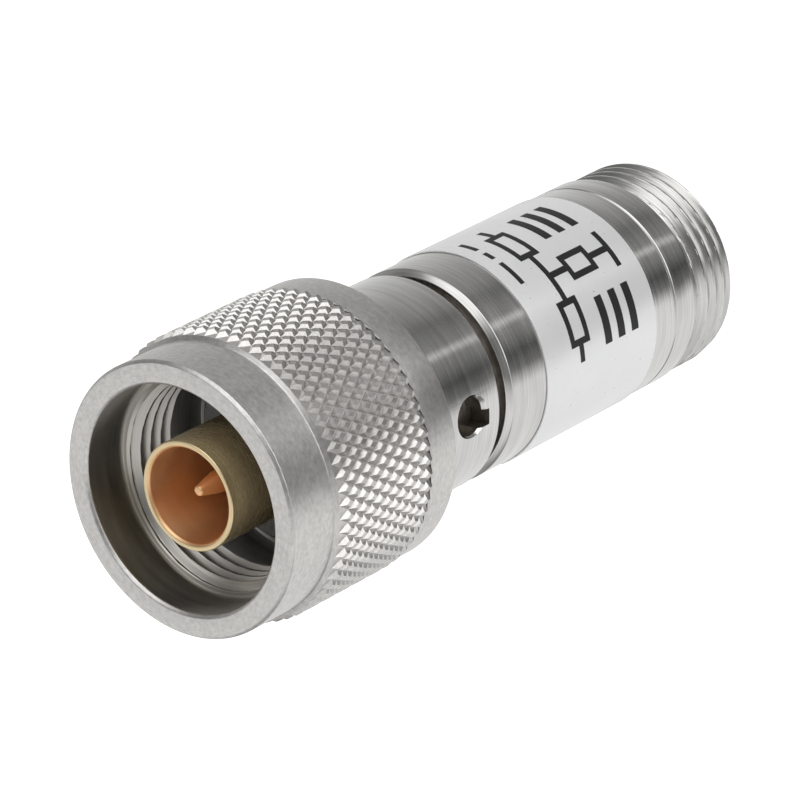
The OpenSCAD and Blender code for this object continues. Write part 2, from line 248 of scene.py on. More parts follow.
@dataclass(frozen=True)
class Dielectric:
    """Film, ink, polymer or ceramic: a mottled colour under a thin even gloss."""

    name: str
    dark: str
    light: str
    roughness: float
    grain_mm: float
    relief_mm: float
    coat: float = 0.0
    coat_roughness: float = 0.2
    ior: float = 1.5
    metallic: float = 0.0
    roughness_spread: float = 0.06
    # Clouds of colour are that many times as wide as the grain
    cloud_ratio: float = 8.0

    def material(self) -> Material:
        """A new material with this finish."""
        made = new_material(self.name)
        tree = made.node_tree
        place = add_node(tree, "TexCoord").outputs["Object"]
        fine = 1 / (self.grain_mm * MM)
        grain = add_node(tree, "TexNoise", {"Vector": place, "Scale": fine, "Detail": 3.0}).outputs["Fac"]
        cloud = add_node(
            tree, "TexNoise", {"Vector": place, "Scale": fine / self.cloud_ratio, "Detail": 2.0}
        ).outputs["Fac"]
        colour = mix_colours(tree, cloud, linear(self.dark), linear(self.light))
        rough = add_node(
            tree, "MapRange",
            {
                "Value": grain, "To Min": self.roughness - self.roughness_spread,
                "To Max": self.roughness + self.roughness_spread,
            },
        )
        bump = add_node(tree, "Bump", {"Height": grain, "Strength": 1.0, "Distance": self.relief_mm * MM})
        add_surface(tree, {
            "Base Color": colour, "Roughness": rough.outputs[0], "Normal": bump.outputs[0],
            "IOR": self.ior, "Metallic": self.metallic,
            "Coat Weight": self.coat, "Coat Roughness": self.coat_roughness,
        })
        return made


def made_once(finish: TurnedMetal | Dielectric) -> Any:
    """A dataclass field that holds the material of a finish."""
    return field(default_factory=finish.material)


@dataclass
class Finishes:
    """All finishes of the attenuator, each made once."""

    # Turned stainless steel: collar, tube and flange take a satin cut with clear rings
    body_steel: Material = made_once(TurnedMetal("turned_stainless_steel"))
    # The nut is tumbled after turning, so that its outside looks light, even and a little grainy
    nut_steel: Material = made_once(TurnedMetal(
        "tumbled_stainless_steel", dark="#c4c2bf", light="#dcdad7", roughness=0.34, roughness_spread=0.04,
        anisotropy=0.3, line_mm=0.12, band_mm=0.35, relief_mm=0.006, wander=20.0,
    ))
    # Its bore and thread keep a bright cut, which mirrors the dark inside, and a darker colour as painted
    # shade in the nut's mouth
    bore_steel_painted_shade: Material = made_once(TurnedMetal(
        "bright_cut_steel_painted_shade", dark="#b4b1ac", light="#cac7c2", roughness=0.32, anisotropy=0.4,
        relief_mm=0.004,
    ))
    # Blasted steel at the bottom of the nut, which catches light from any side
    blasted_steel: Material = made_once(TurnedMetal(
        "blasted_stainless_steel", dark="#bcc0c4", light="#d2d6da", roughness=0.55, roughness_spread=0.06,
        anisotropy=0.0, relief_mm=0.004, wander=30.0,
    ))
    # Steel darkened as painted shade, in the spanner hole and on the stem below the groove
    shaded_recess_steel: Material = made_once(TurnedMetal(
        "stainless_steel_painted_shade", dark="#77716a", light="#a39c94", roughness=0.45, anisotropy=0.2,
        line_mm=0.3, relief_mm=0.02, wander=6.0,
    ))
    # Gold plating over brass, on the contacts
    gold: Material = made_once(GOLD_PLATE)
    # The same plating on the outside of the sleeve, in a paler, yellower colour painted for the olive
    # reflection of the nut around it
    outer_gold_painted_reflection: Material = made_once(replace(
        GOLD_PLATE, name="gold_plate_painted_reflection", dark="#d8c296", light="#ecdab4", roughness=0.27,
        relief_mm=0.0015,
    ))
    # White polyester film with a metallised back, whose sheen follows the surroundings
    film: Material = made_once(Dielectric(
        "metallised_white_film", "#eeeeef", "#f6f6f6", roughness=0.3, grain_mm=0.35, relief_mm=0.002,
        coat=0.5, coat_roughness=0.15, metallic=0.33,
    ))
    # Black screen ink on the film
    ink: Material = made_once(Dielectric(
        "black_screen_ink", "#0d0d0f", "#19191c", roughness=0.5, grain_mm=0.2, relief_mm=0.003,
    ))
    # Machined insulator with a waxy surface
    polymer: Material = made_once(Dielectric(
        "machined_insulator", "#e2dcc8", "#efe9d8", roughness=0.45, grain_mm=0.4, relief_mm=0.004,
    ))
    # Fired alumina with a resistive film
    ceramic: Material = made_once(Dielectric(
        "fired_alumina", "#c9c6bf", "#dedbd4", roughness=0.55, grain_mm=0.15, relief_mm=0.004,
    ))


@dataclass(frozen=True)
class Corner:
    """A point of a half section: its radius, its level and how much it is rounded."""

    r: float
    z: float
    ease: float = 0.0


def eased(section: list[Corner], closed: bool) -> list[tuple[float, float]]:
    """Rounds the corners of a half section as a lathe file does.

    Args:
        section: Corners in order.
        closed: Whether the last corner joins the first.

    Returns:
        Radius and height of each point.
    """
    points: list[tuple[float, float]] = []
    count = len(section)
    for index, corner in enumerate(section):
        at_end = not closed and index in (0, count - 1)
        here = Vector((corner.r, corner.z))
        if corner.ease <= 0 or at_end:
            points.append((corner.r, corner.z))
            continue
        before = section[index - 1]
        after = section[(index + 1) % count]
        back = Vector((before.r, before.z)) - here
        ahead = Vector((after.r, after.z)) - here
        cut = min(corner.ease, ARC_SHARE * back.length, ARC_SHARE * ahead.length)
        start = here + back.normalized() * cut
        end = here + ahead.normalized() * cut
        for step in range(ARC_STEPS + 1):
            t = step / ARC_STEPS
            spot = start * (1 - t) ** 2 + here * (2 * t * (1 - t)) + end * t ** 2
            points.append((spot.x, spot.y))
    return points


def select_only(piece: Object) -> None:
    """Makes piece the one selected and active object."""
    bpy.ops.object.select_all(action="DESELECT")
    piece.select_set(True)
    bpy.context.view_layer.objects.active = piece


def select_where(piece: Object, kind: str, wanted: Callable[[Any], bool]) -> None:
    """Selects points or faces of a piece in edit mode, and nothing else.

    Args:
        piece: The piece, in edit mode.
        kind: VERT or FACE.
        wanted: Says whether a point or face is selected.
    """
    bpy.ops.mesh.select_mode(type=kind)
    bpy.ops.mesh.select_all(action="DESELECT")
    shape = bmesh.from_edit_mesh(piece.data)
    for item in shape.verts if kind == "VERT" else shape.faces:
        item.select = wanted(item)
    shape.select_flush_mode()
    bmesh.update_edit_mesh(piece.data)


def off_axis(spot: Vector) -> float:
    """Distance of a point of a mesh from the Z axis."""
    return math.hypot(spot.x, spot.y) / MM


def smooth(piece: Object) -> None:
    """Shades piece smoothly, with crisp edges where faces meet sharply."""
    select_only(piece)
    bpy.ops.object.shade_smooth_by_angle(angle=CRISP_ANGLE)


def turn(
    name: str,
    section: list[Corner],
    steps: int = TURN_STEPS,
    closed: bool = True,
    start_deg: float = 0.0,
    arc_deg: float = 360.0,
) -> Object:
    """Draws a half section by extruding a vertex along it, and spins it round the Z axis.

    Args:
        name: Name of the piece.
        section: Corners of the half section.
        steps: Steps of the spin.
        closed: Whether the section closes; an open one starts and ends on the axis.
        start_deg: Direction from +X at which the spin starts.
        arc_deg: Angle of the spin; less than a full turn gets end faces.

    Returns:
        The piece, in object mode.
    """
    points = eased(section, closed)
    bpy.ops.object.select_all(action="DESELECT")
    bpy.ops.mesh.primitive_plane_add(size=MM)
    piece = bpy.context.active_object
    piece.name = name
    piece.data.name = name
    bpy.ops.object.mode_set(mode="EDIT")
    bpy.ops.mesh.merge(type="CENTER")
    bpy.ops.transform.translate(value=(points[0][0] * MM, 0, points[0][1] * MM))
    for (r0, z0), (r1, z1) in zip(points, points[1:]):
        bpy.ops.mesh.extrude_region_move(
            TRANSFORM_OT_translate={"value": ((r1 - r0) * MM, 0, (z1 - z0) * MM)}
        )
    if closed:
        select_where(piece, "VERT", lambda vert: len(vert.link_edges) == 1)
        bpy.ops.mesh.edge_face_add()
    bpy.ops.mesh.select_all(action="SELECT")
    if start_deg:
        start = Matrix.Rotation(math.radians(start_deg), 4, "Z")
        shape = bmesh.from_edit_mesh(piece.data)
        bmesh.ops.transform(shape, matrix=start, verts=shape.verts)
        bmesh.update_edit_mesh(piece.data)
    # The spin runs clockwise for a positive angle
    bpy.ops.mesh.spin(
        steps=steps, angle=-math.radians(arc_deg), center=(0, 0, 0), axis=(0, 0, 1)
    )
    bpy.ops.mesh.select_all(action="SELECT")
    bpy.ops.mesh.remove_doubles(threshold=WELD)
    if arc_deg < 360:
        bpy.ops.mesh.fill_holes(sides=0)
        bpy.ops.mesh.select_all(action="SELECT")
    bpy.ops.mesh.normals_make_consistent(inside=False)
    bpy.ops.object.mode_set(mode="OBJECT")
    smooth(piece)
    return piece


def turn_ring(
    name: str,
    radii: tuple[float, float],
    heights: tuple[float, float],
    chamfers: tuple[float, float],
    edge: float,
) -> Object:
    """Turns a plain ring with a chamfer at both ends of its outside.

    Args:
        name: Name of the piece.
        radii: Inner and outer radius.
        heights: Lowest and highest level.
        chamfers: Lower and upper chamfer.
        edge: Rounding of the corners.

    Returns:
        The ring.
    """
    bore_r, outer_r = radii
    bottom, top = heights
    lower, upper = chamfers
    section = [
        Corner(bore_r, bottom, edge),
        Corner(outer_r - lower, bottom, edge),
        Corner(outer_r, bottom + lower, edge),
        Corner(outer_r, top - upper, edge),
        Corner(outer_r - upper, top, edge),
        Corner(bore_r, top, edge),
    ]
    return turn(name, section)


def finish_piece(
    piece: Object,
    finish: Material,
    slot: Slot,
    *nodes: str,
    body: Body = Body.ATTENUATOR,
) -> None:
    """Dresses a new piece and puts it on its body.

    Args:
        piece: The piece, in place.
        finish: Its material.
        slot: Material slot of the record; not used.
        *nodes: CAD nodes that it stands for.
        body: Body that it moves with.
    """
    piece.data.materials.clear()
    piece.data.materials.append(finish)
    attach(piece, body.value)
    if nodes:
        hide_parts(*nodes)
    LOG.info("%s: %d faces", piece.name, len(piece.data.polygons))


def dress_within(
    piece: Object,
    finish: Material,
    radii: tuple[float, float],
    heights: tuple[float, float],
) -> None:
    """Gives part of a dressed piece another finish.

    Args:
        piece: The dressed piece.
        finish: Finish of the faces that lie within the limits.
        radii: Least and greatest distance from the axis.
        heights: Lowest and highest level.
    """
    piece.data.materials.append(finish)
    for face in piece.data.polygons:
        at_radius = radii[0] < off_axis(face.center) < radii[1]
        if at_radius and heights[0] < face.center.z / MM < heights[1]:
            face.material_index = len(piece.data.materials) - 1


def levels(node: str) -> tuple[float, float]:
    """Lowest and highest level of a CAD node."""
    low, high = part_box(node)
    return low.z / MM, high.z / MM


@dataclass(frozen=True)
class Thread:
    """A right-handed screw thread with 24 turns to the inch, cut into rings of a turned piece."""

    crest_r: float
    root_r: float
    bottom: float
    top: float
    crest_flat: float
    root_flat: float
    bottom_cone: float
    top_cone: float
    pitch: float = 25.4 / 24
    ring_gap: float = 0.03

    def rings(self) -> list[Corner]:
        """Points of the section from the bottom up, one for each ring of the thread."""
        count = math.ceil((self.top - self.bottom) / self.ring_gap)
        step = (self.top - self.bottom) / count
        return [Corner(self.crest_r, self.bottom + index * step) for index in range(count + 1)]

    def radius(self, z: float, angle: float) -> float:
        """Radius of the thread at level z, in a direction given as an angle from +X in radians."""
        phase = (z / self.pitch - angle / FULL_TURN) % 1.0
        off_crest = abs(phase - 0.5) * 2
        flank = 1 - self.crest_flat - self.root_flat
        share = min(max((off_crest - self.crest_flat) / flank, 0.0), 1.0)
        depth = abs(self.root_r - self.crest_r) * share
        cones = (z - self.bottom - self.bottom_cone, self.top - z - self.top_cone)
        outward = 1 if self.root_r < self.crest_r else -1
        return self.crest_r + outward * min(-depth, *cones)

    def wind(self, piece: Object) -> None:
        """Moves the rings of a turned piece to the thread's shape.

        Args:
            piece: A piece whose section holds this thread's rings.
        """
        for vert in piece.data.vertices:
            r = off_axis(vert.co)
            z = vert.co.z / MM
            on_level = self.bottom - PICK < z < self.top + PICK
            if on_level and abs(r - self.crest_r) < PICK:
                scale = self.radius(z, math.atan2(vert.co.y, vert.co.x)) / r
                vert.co.x *= scale
                vert.co.y *= scale
        piece.data.update()
        smooth(piece)


@dataclass
class CouplingNut:
    """Knurled coupling nut that turns freely on the plug."""

    finishes: Finishes
    front_r: float = 10.05
    band_r: float = 10.47
    band_len: float = 3.05
    peak_r: float = 10.65
    valley_r: float = 10.35
    knurl_len: float = 9.85
    run_in: float = 0.37
    rows: int = 12
    columns: int = 132
    # Share of a diamond's full height that its flat tip cuts off, in per cent
    tip_share: float = 45.0
    tip_margin: float = 0.01
    chamfer: float = 0.3
    lead: float = 0.2
    front_chamfer: float = 0.2
    mouth_r: float = 8.3
    mouth_depth: float = 3.8
    mouth_chamfer: float = 0.2
    thread_len: float = 4.4
    relief_r: float = 8.3
    relief_round: float = 0.2
    web_r: float = 6.7
    web_len: float = 5.25
    edge: float = 0.08
    step_edge: float = 0.05
    front_edge: float = 0.04

    @property
    def row_len(self) -> float:
        """Length of one row, half a diamond."""
        return (self.knurl_len + self.run_in) / self.rows

    def build(self) -> None:
        """Turns, knurls, threads and dresses the nut."""
        bottom, top = levels("coupling_nut")
        knurl_bottom = bottom + self.band_len
        knurl_top = knurl_bottom + self.knurl_len
        thread_top = top - self.mouth_depth
        web_top = bottom + self.web_len
        thread = Thread(
            crest_r=THREAD_MINOR_R, root_r=THREAD_MAJOR_R, bottom=thread_top - self.thread_len,
            top=thread_top, crest_flat=0.2, root_flat=0.125, bottom_cone=0.45, top_cone=0.62,
        )
        row_levels = [knurl_top - row * self.row_len for row in range(self.rows - 1, -1, -1)]
        section = [
            Corner(self.web_r, bottom, self.edge),
            Corner(self.band_r - self.chamfer, bottom, self.edge),
            Corner(self.band_r, bottom + self.chamfer, self.edge),
            Corner(self.band_r, knurl_bottom, self.step_edge),
            Corner(self.valley_r, knurl_bottom),
            *[Corner(self.valley_r, z) for z in row_levels],
            Corner(self.front_r, knurl_top + self.lead, self.step_edge),
            Corner(self.front_r, top - self.front_chamfer, self.front_edge),
            Corner(self.front_r - self.front_chamfer, top, self.front_edge),
            Corner(self.mouth_r + self.mouth_chamfer, top, self.edge),
            Corner(self.mouth_r, top - self.mouth_chamfer, self.edge),
            Corner(self.mouth_r, thread_top, self.step_edge),
            *reversed(thread.rings()),
            Corner(self.relief_r, thread.bottom, self.step_edge),
            Corner(self.relief_r, web_top, self.relief_round),
            Corner(self.web_r, web_top, self.edge),
        ]
        nut = turn("nut_knurled", section, steps=self.columns)
        self.knurl(nut, knurl_bottom, knurl_top)
        thread.wind(nut)
        finish_piece(nut, self.finishes.nut_steel, Slot.STEEL, "coupling_nut", body=Body.NUT)
        # The bore and thread take the darker steel, painted shade in the nut's mouth
        bore = (0, self.mouth_r + PICK)
        dress_within(nut, self.finishes.bore_steel_painted_shade, bore, (web_top + PICK, top - self.mouth_chamfer))
        dress_within(nut, self.finishes.blasted_steel, bore, (web_top - PICK, web_top + PICK))

    def knurl(self, nut: Object, knurl_bottom: float, knurl_top: float) -> None:
        """Raises the diamonds of the knurl from the rings of the blank.

        Args:
            nut: The turned blank.
            knurl_bottom: Level of the knurl's back edge.
            knurl_top: Level of the knurl's front edge.
        """
        # Row number of the back edge, which falls between two rows
        lowest_row = (knurl_top - knurl_bottom) / self.row_len

        def is_peak(vert: bmesh.types.BMVert, back_edge: bool) -> bool:
            """Whether a ring point becomes a peak, on the back edge or else on the whole rows."""
            row = (knurl_top - vert.co.z / MM) / self.row_len
            column = round(math.atan2(vert.co.y, vert.co.x) / FULL_TURN * self.columns)
            on_edge = abs(row - lowest_row) < PICK
            on_row = abs(row - round(row)) < PICK and 0 < round(row) < self.rows
            nearest = self.rows - 1 if on_edge else round(row)
            on_ring = on_edge if back_edge else on_row and not on_edge
            return on_ring and abs(off_axis(vert.co) - self.valley_r) < PICK and (nearest + column) % 2 == 0

        def on_knurl(face: bmesh.types.BMFace) -> bool:
            """Whether a face lies between the knurl's rows."""
            middle = face.calc_center_median()
            inside = knurl_bottom + PICK < middle.z / MM < knurl_top - PICK
            return inside and off_axis(middle) > self.front_r

        select_only(nut)
        bpy.ops.object.mode_set(mode="EDIT")
        full_rise = (self.peak_r - self.valley_r) / (1 - self.tip_share / 100)
        runout = (self.rows - lowest_row) * full_rise
        for rise, back_edge in ((full_rise, False), (runout, True)):
            select_where(nut, "VERT", lambda vert: is_peak(vert, back_edge))
            grow = 1 + rise / self.valley_r
            bpy.ops.transform.resize(value=(grow, grow, 1), center_override=(0, 0, 0))
        select_where(nut, "FACE", on_knurl)
        bpy.ops.mesh.quads_convert_to_tris(quad_method="SHORTEST_DIAGONAL")
        select_where(nut, "VERT", lambda vert: off_axis(vert.co) > self.peak_r - self.tip_margin)
        bpy.ops.mesh.bevel(
            offset_type="PERCENT", offset_pct=self.tip_share, segments=1, affect="VERTICES"
        )
        bpy.ops.object.mode_set(mode="OBJECT")
        # The tips beside the back edge are cut less, so they are brought to the same height
        for vert in nut.data.vertices:
            trim = min(1.0, self.peak_r / off_axis(vert.co))
            vert.co.x *= trim
            vert.co.y *= trim
        smooth(nut)


@dataclass
class LockCollar:
    """Plain collar behind the nut, with a spanner hole and a small notch beside it."""

    finishes: Finishes
    outer_r: float = 8.1
    bore_r: float = 6.52
    chamfer: float = 0.15
    edge: float = 0.07
    hole_r: float = 1.4
    hole_inset: float = 3.2
    hole_steps: int = 64
    flare: float = 0.14
    flare_depth: float = 0.308
    # The wall of the hole takes painted shade below this depth, where the flare has ended
    shade_depth: float = 0.252
    notch_offset: float = -0.56
    notch_width: float = 1.2
    notch_reach: float = 0.5
    # How far the cutting tools stand out of the collar's wall
    overshoot: float = 1.0

    def build(self) -> None:
        """Turns the collar, drills its hole, cuts the notch and dresses it."""
        bottom, top = levels("lock_collar")
        collar = turn_ring(
            "collar_turned", (self.bore_r, self.outer_r), (bottom, top), (self.chamfer, self.chamfer),
            self.edge,
        )
        hole_level = bottom + self.hole_inset
        self.cut(collar, self.drill(hole_level))
        self.cut(collar, self.notch_tool(hole_level))
        smooth(collar)
        finish_piece(collar, self.finishes.body_steel, Slot.STEEL, "lock_collar")
        # The wall of the spanner hole is painted with shade
        wall = (self.bore_r + self.edge, self.outer_r - self.shade_depth)
        reach = 2 * self.hole_r
        dress_within(collar, self.finishes.shaded_recess_steel, wall, (hole_level - reach, hole_level + reach))

    def drill(self, level: float) -> Object:
        """The drill for a hole at that level, in place. It flares where it leaves the collar."""
        start = self.bore_r - self.overshoot
        end = self.outer_r + self.overshoot - self.flare
        section = [
            Corner(0, start),
            Corner(self.hole_r, start),
            Corner(self.hole_r, self.outer_r - self.flare_depth),
            Corner(self.hole_r + self.overshoot + self.flare, end),
            Corner(0, end),
        ]
        drill = turn("spanner_drill", section, steps=self.hole_steps, closed=False)
        drill.rotation_euler = (math.radians(90), 0, 0)
        drill.location = (0, 0, level * MM)
        select_only(drill)
        bpy.ops.object.transform_apply(location=True, rotation=True, scale=True)
        return drill

    def notch_tool(self, level: float) -> Object:
        """The cutter of the notch, in place on the tube side of a hole at that level."""
        bpy.ops.object.select_all(action="DESELECT")
        depth = self.outer_r - self.bore_r + 2 * self.overshoot
        reach = self.hole_r + self.notch_reach
        middle = Vector((self.notch_offset, -(self.bore_r - self.overshoot + depth / 2), level - reach / 2))
        bpy.ops.mesh.primitive_cube_add(
            size=MM, location=middle * MM, scale=(self.notch_width, depth, reach)
        )
        tool = bpy.context.active_object
        bpy.ops.object.transform_apply(location=True, rotation=True, scale=True)
        return tool

    @staticmethod
    def cut(piece: Object, tool: Object) -> None:
        """Cuts tool out of piece and removes it."""
        select_only(piece)
        modifier = piece.modifiers.new("cut", "BOOLEAN")
        modifier.operation = "DIFFERENCE"
        modifier.solver = "EXACT"
        modifier.object = tool
        bpy.ops.object.modifier_apply(modifier=modifier.name)
        bpy.data.objects.remove(tool)


@dataclass(frozen=True)
class Field:
    """A printed rectangle: its start and width along the print, its lowest and highest level."""

    start: float
    width: float
    bottom: float
    top: float

    def outline(self, stroke: float) -> list["Field"]:
        """The four bars of an open box of this size, each as wide as the stroke."""
        return [
            Field(self.start, stroke, self.bottom, self.top),
            Field(self.start + self.width - stroke, stroke, self.bottom, self.top),
            Field(self.start, self.width, self.bottom, self.bottom + stroke),
            Field(self.start, self.width, self.top - stroke, self.top),
        ]


@dataclass(frozen=True)
class PadSymbol:
    """Print of the label: the circuit symbol of a resistor pad between plain bars."""

    length: float = 13.6
    stroke: float = 0.5
    line_level: float = 19.2
    box_inset: float = 1.3
    box_length: float = 3.5
    box_height: float = 2.2
    shunt_top: float = 17.3
    shunt_bottom: float = 14.3
    ground_level: float = 12.5
    ground_length: float = 3.2
    bar_inset: float = 0.4
    bar_length: float = 3.6
    bar_height: float = 0.8
    bar_levels: tuple[float, ...] = (12.4, 14.0, 15.6)
    foot_level: float = 21.7
    foot_height: float = 0.45
    foot_gap: float = 0.6
    foot_bars: tuple[float, ...] = (1.6, 0.9, 2.3)

    def fields(self) -> list[Field]:
        """All printed rectangles. They touch, and overlap only at the corners of a box."""
        half = self.stroke / 2
        low = self.line_level - half
        high = self.line_level + half
        middle = self.length / 2
        first = self.box_inset
        second = self.length - self.box_inset - self.box_length
        found = [
            Field(0, first, low, high),
            Field(first + self.box_length, second - first - self.box_length, low, high),
            Field(second + self.box_length, self.box_inset, low, high),
            Field(middle - half, self.stroke, self.shunt_top, low),
            Field(middle - half, self.stroke, self.ground_level, self.shunt_bottom),
            Field(middle - self.ground_length / 2, self.ground_length,
                  self.ground_level - self.stroke, self.ground_level),
        ]
        box_low = self.line_level - self.box_height / 2
        for start in (first, second):
            found += Field(start, self.box_length, box_low, box_low + self.box_height).outline(self.stroke)
        shunt = Field(middle - self.box_height / 2, self.box_height, self.shunt_bottom, self.shunt_top)
        found += shunt.outline(self.stroke)
        for start in (self.bar_inset, self.length - self.bar_length - self.bar_inset):
            found += [
                Field(start, self.bar_length, level, level + self.bar_height) for level in self.bar_levels
            ]
        place = self.bar_inset
        for width in self.foot_bars:
            found.append(Field(place, width, self.foot_level, self.foot_level + self.foot_height))
            place += width + self.foot_gap
        return found


@dataclass
class LabelledTube:
    """Body tube and the film label wrapped on it."""

    finishes: Finishes
    outer_r: float = 8.1
    bore_r: float = 6.52
    plug_chamfer: float = 0.4
    groove_cut: float = 0.12
    jack_chamfer: float = 0.12
    edge: float = 0.06
    film_inner_r: float = 8.12
    film_outer_r: float = 8.22
    film_start_deg: float = -155.0
    film_arc_deg: float = 200.0
    film_edge: float = 0.03
    # Angle of one facet of the film and its print
    facet_deg: float = 1.5
    ink_height: float = 0.012
    print_start_deg: float = 4.0
    symbol: PadSymbol = PadSymbol()

    def build(self) -> None:
        """Turns the tube, wraps the label and prints it."""
        bottom, solid_top = levels("body_tube")
        # The groove beside the collar is cut a little into the tube's end
        tube = turn_ring(
            "tube_turned", (self.bore_r, self.outer_r), (bottom, solid_top - self.groove_cut),
            (self.jack_chamfer, self.plug_chamfer), self.edge,
        )
        finish_piece(tube, self.finishes.body_steel, Slot.STEEL, "body_tube")
        film = self.patch(
            "label_film", levels("film_label"), (self.film_start_deg, self.film_arc_deg),
            (self.film_inner_r, self.film_outer_r), self.film_edge,
        )
        finish_piece(film, self.finishes.film, Slot.LABEL, "film_label")
        self.printing()

    def printing(self) -> None:
        """Lays the printed rectangles on the film, as one piece of ink."""
        ink_radii = (self.film_outer_r, self.film_outer_r + self.ink_height)
        strokes = []
        for spot in self.symbol.fields():
            arc_deg = math.degrees(spot.width / self.film_outer_r)
            end_deg = self.print_start_deg - math.degrees(spot.start / self.film_outer_r)
            strokes.append(
                self.patch("ink_stroke", (spot.bottom, spot.top), (end_deg - arc_deg, arc_deg), ink_radii)
            )
        bpy.ops.object.select_all(action="DESELECT")
        for stroke in strokes:
            stroke.select_set(True)
        ink = strokes[0]
        bpy.context.view_layer.objects.active = ink
        bpy.ops.object.join()
        ink.name = "label_print"
        finish_piece(ink, self.finishes.ink, Slot.LABEL)

    def patch(
        self,
        name: str,
        heights: tuple[float, float],
        arc: tuple[float, float],
        radii: tuple[float, float],
        ease: float = 0.0,
    ) -> Object:
        """Makes a thin patch that lies round the tube.

        Args:
            name: Name of the piece.
            heights: Lowest and highest level.
            arc: Direction from +X at which it starts and the angle that it covers, in degrees.
            radii: Inner and outer radius.
            ease: Rounding of its outer edges.

        Returns:
            The patch.
        """
        bottom, top = heights
        start_deg, arc_deg = arc
        inner_r, outer_r = radii
        section = [
            Corner(inner_r, bottom), Corner(outer_r, bottom, ease),
            Corner(outer_r, top, ease), Corner(inner_r, top),
        ]
        steps = max(2, round(arc_deg / self.facet_deg))
        return turn(name, section, steps=steps, start_deg=start_deg, arc_deg=arc_deg)


@dataclass
class JackEnd:
    """Jack body: thread, relief, flange and socket in one turned piece."""

    finishes: Finishes
    thread_len: float = 4.4
    relief_r: float = 7.15
    relief_len: float = 0.7
    relief_edge: float = 0.05
    relief_round: float = 0.15
    flange_r: float = 8.1
    flange_len: float = 2.5
    spigot_r: float = 6.5
    joint_chamfer: float = 0.12
    socket_r: float = 4.05
    socket_lead_r: float = 4.5
    socket_lead_depth: float = 0.6
    socket_depth: float = 9.1
    line_r: float = 3.5
    bead_pocket_r: float = 5.02
    bead_len: float = 3.0
    edge: float = 0.07

    def build(self) -> None:
        """Turns the jack, cuts its thread and dresses it."""
        bottom, top = levels("jack_body")
        thread_top = bottom + self.thread_len
        flange_bottom = thread_top + self.relief_len
        flange_top = flange_bottom + self.flange_len
        thread = Thread(
            crest_r=THREAD_MAJOR_R, root_r=THREAD_MINOR_R, bottom=bottom, top=thread_top,
            crest_flat=0.14, root_flat=0.2, bottom_cone=0.45, top_cone=0.5,
        )
        section = [
            Corner(self.socket_lead_r, bottom, self.edge),
            *thread.rings(),
            Corner(self.relief_r, thread_top, self.relief_edge),
            Corner(self.relief_r, flange_bottom, self.relief_round),
            Corner(self.flange_r - self.joint_chamfer, flange_bottom, self.edge),
            Corner(self.flange_r, flange_bottom + self.joint_chamfer, self.edge),
            Corner(self.flange_r, flange_top - self.joint_chamfer, self.edge),
            Corner(self.flange_r - self.joint_chamfer, flange_top, self.edge),
            Corner(self.spigot_r, flange_top),
            Corner(self.spigot_r, top, self.edge),
            Corner(self.bead_pocket_r, top, self.edge),
            Corner(self.bead_pocket_r, top - self.bead_len),
            Corner(self.line_r, top - self.bead_len),
            Corner(self.line_r, bottom + self.socket_depth, self.edge),
            Corner(self.socket_r, bottom + self.socket_depth),
            Corner(self.socket_r, bottom + self.socket_lead_depth, self.edge),
        ]
        jack = turn("jack_turned", section)
        thread.wind(jack)
        finish_piece(jack, self.finishes.body_steel, Slot.STEEL, "jack_body")


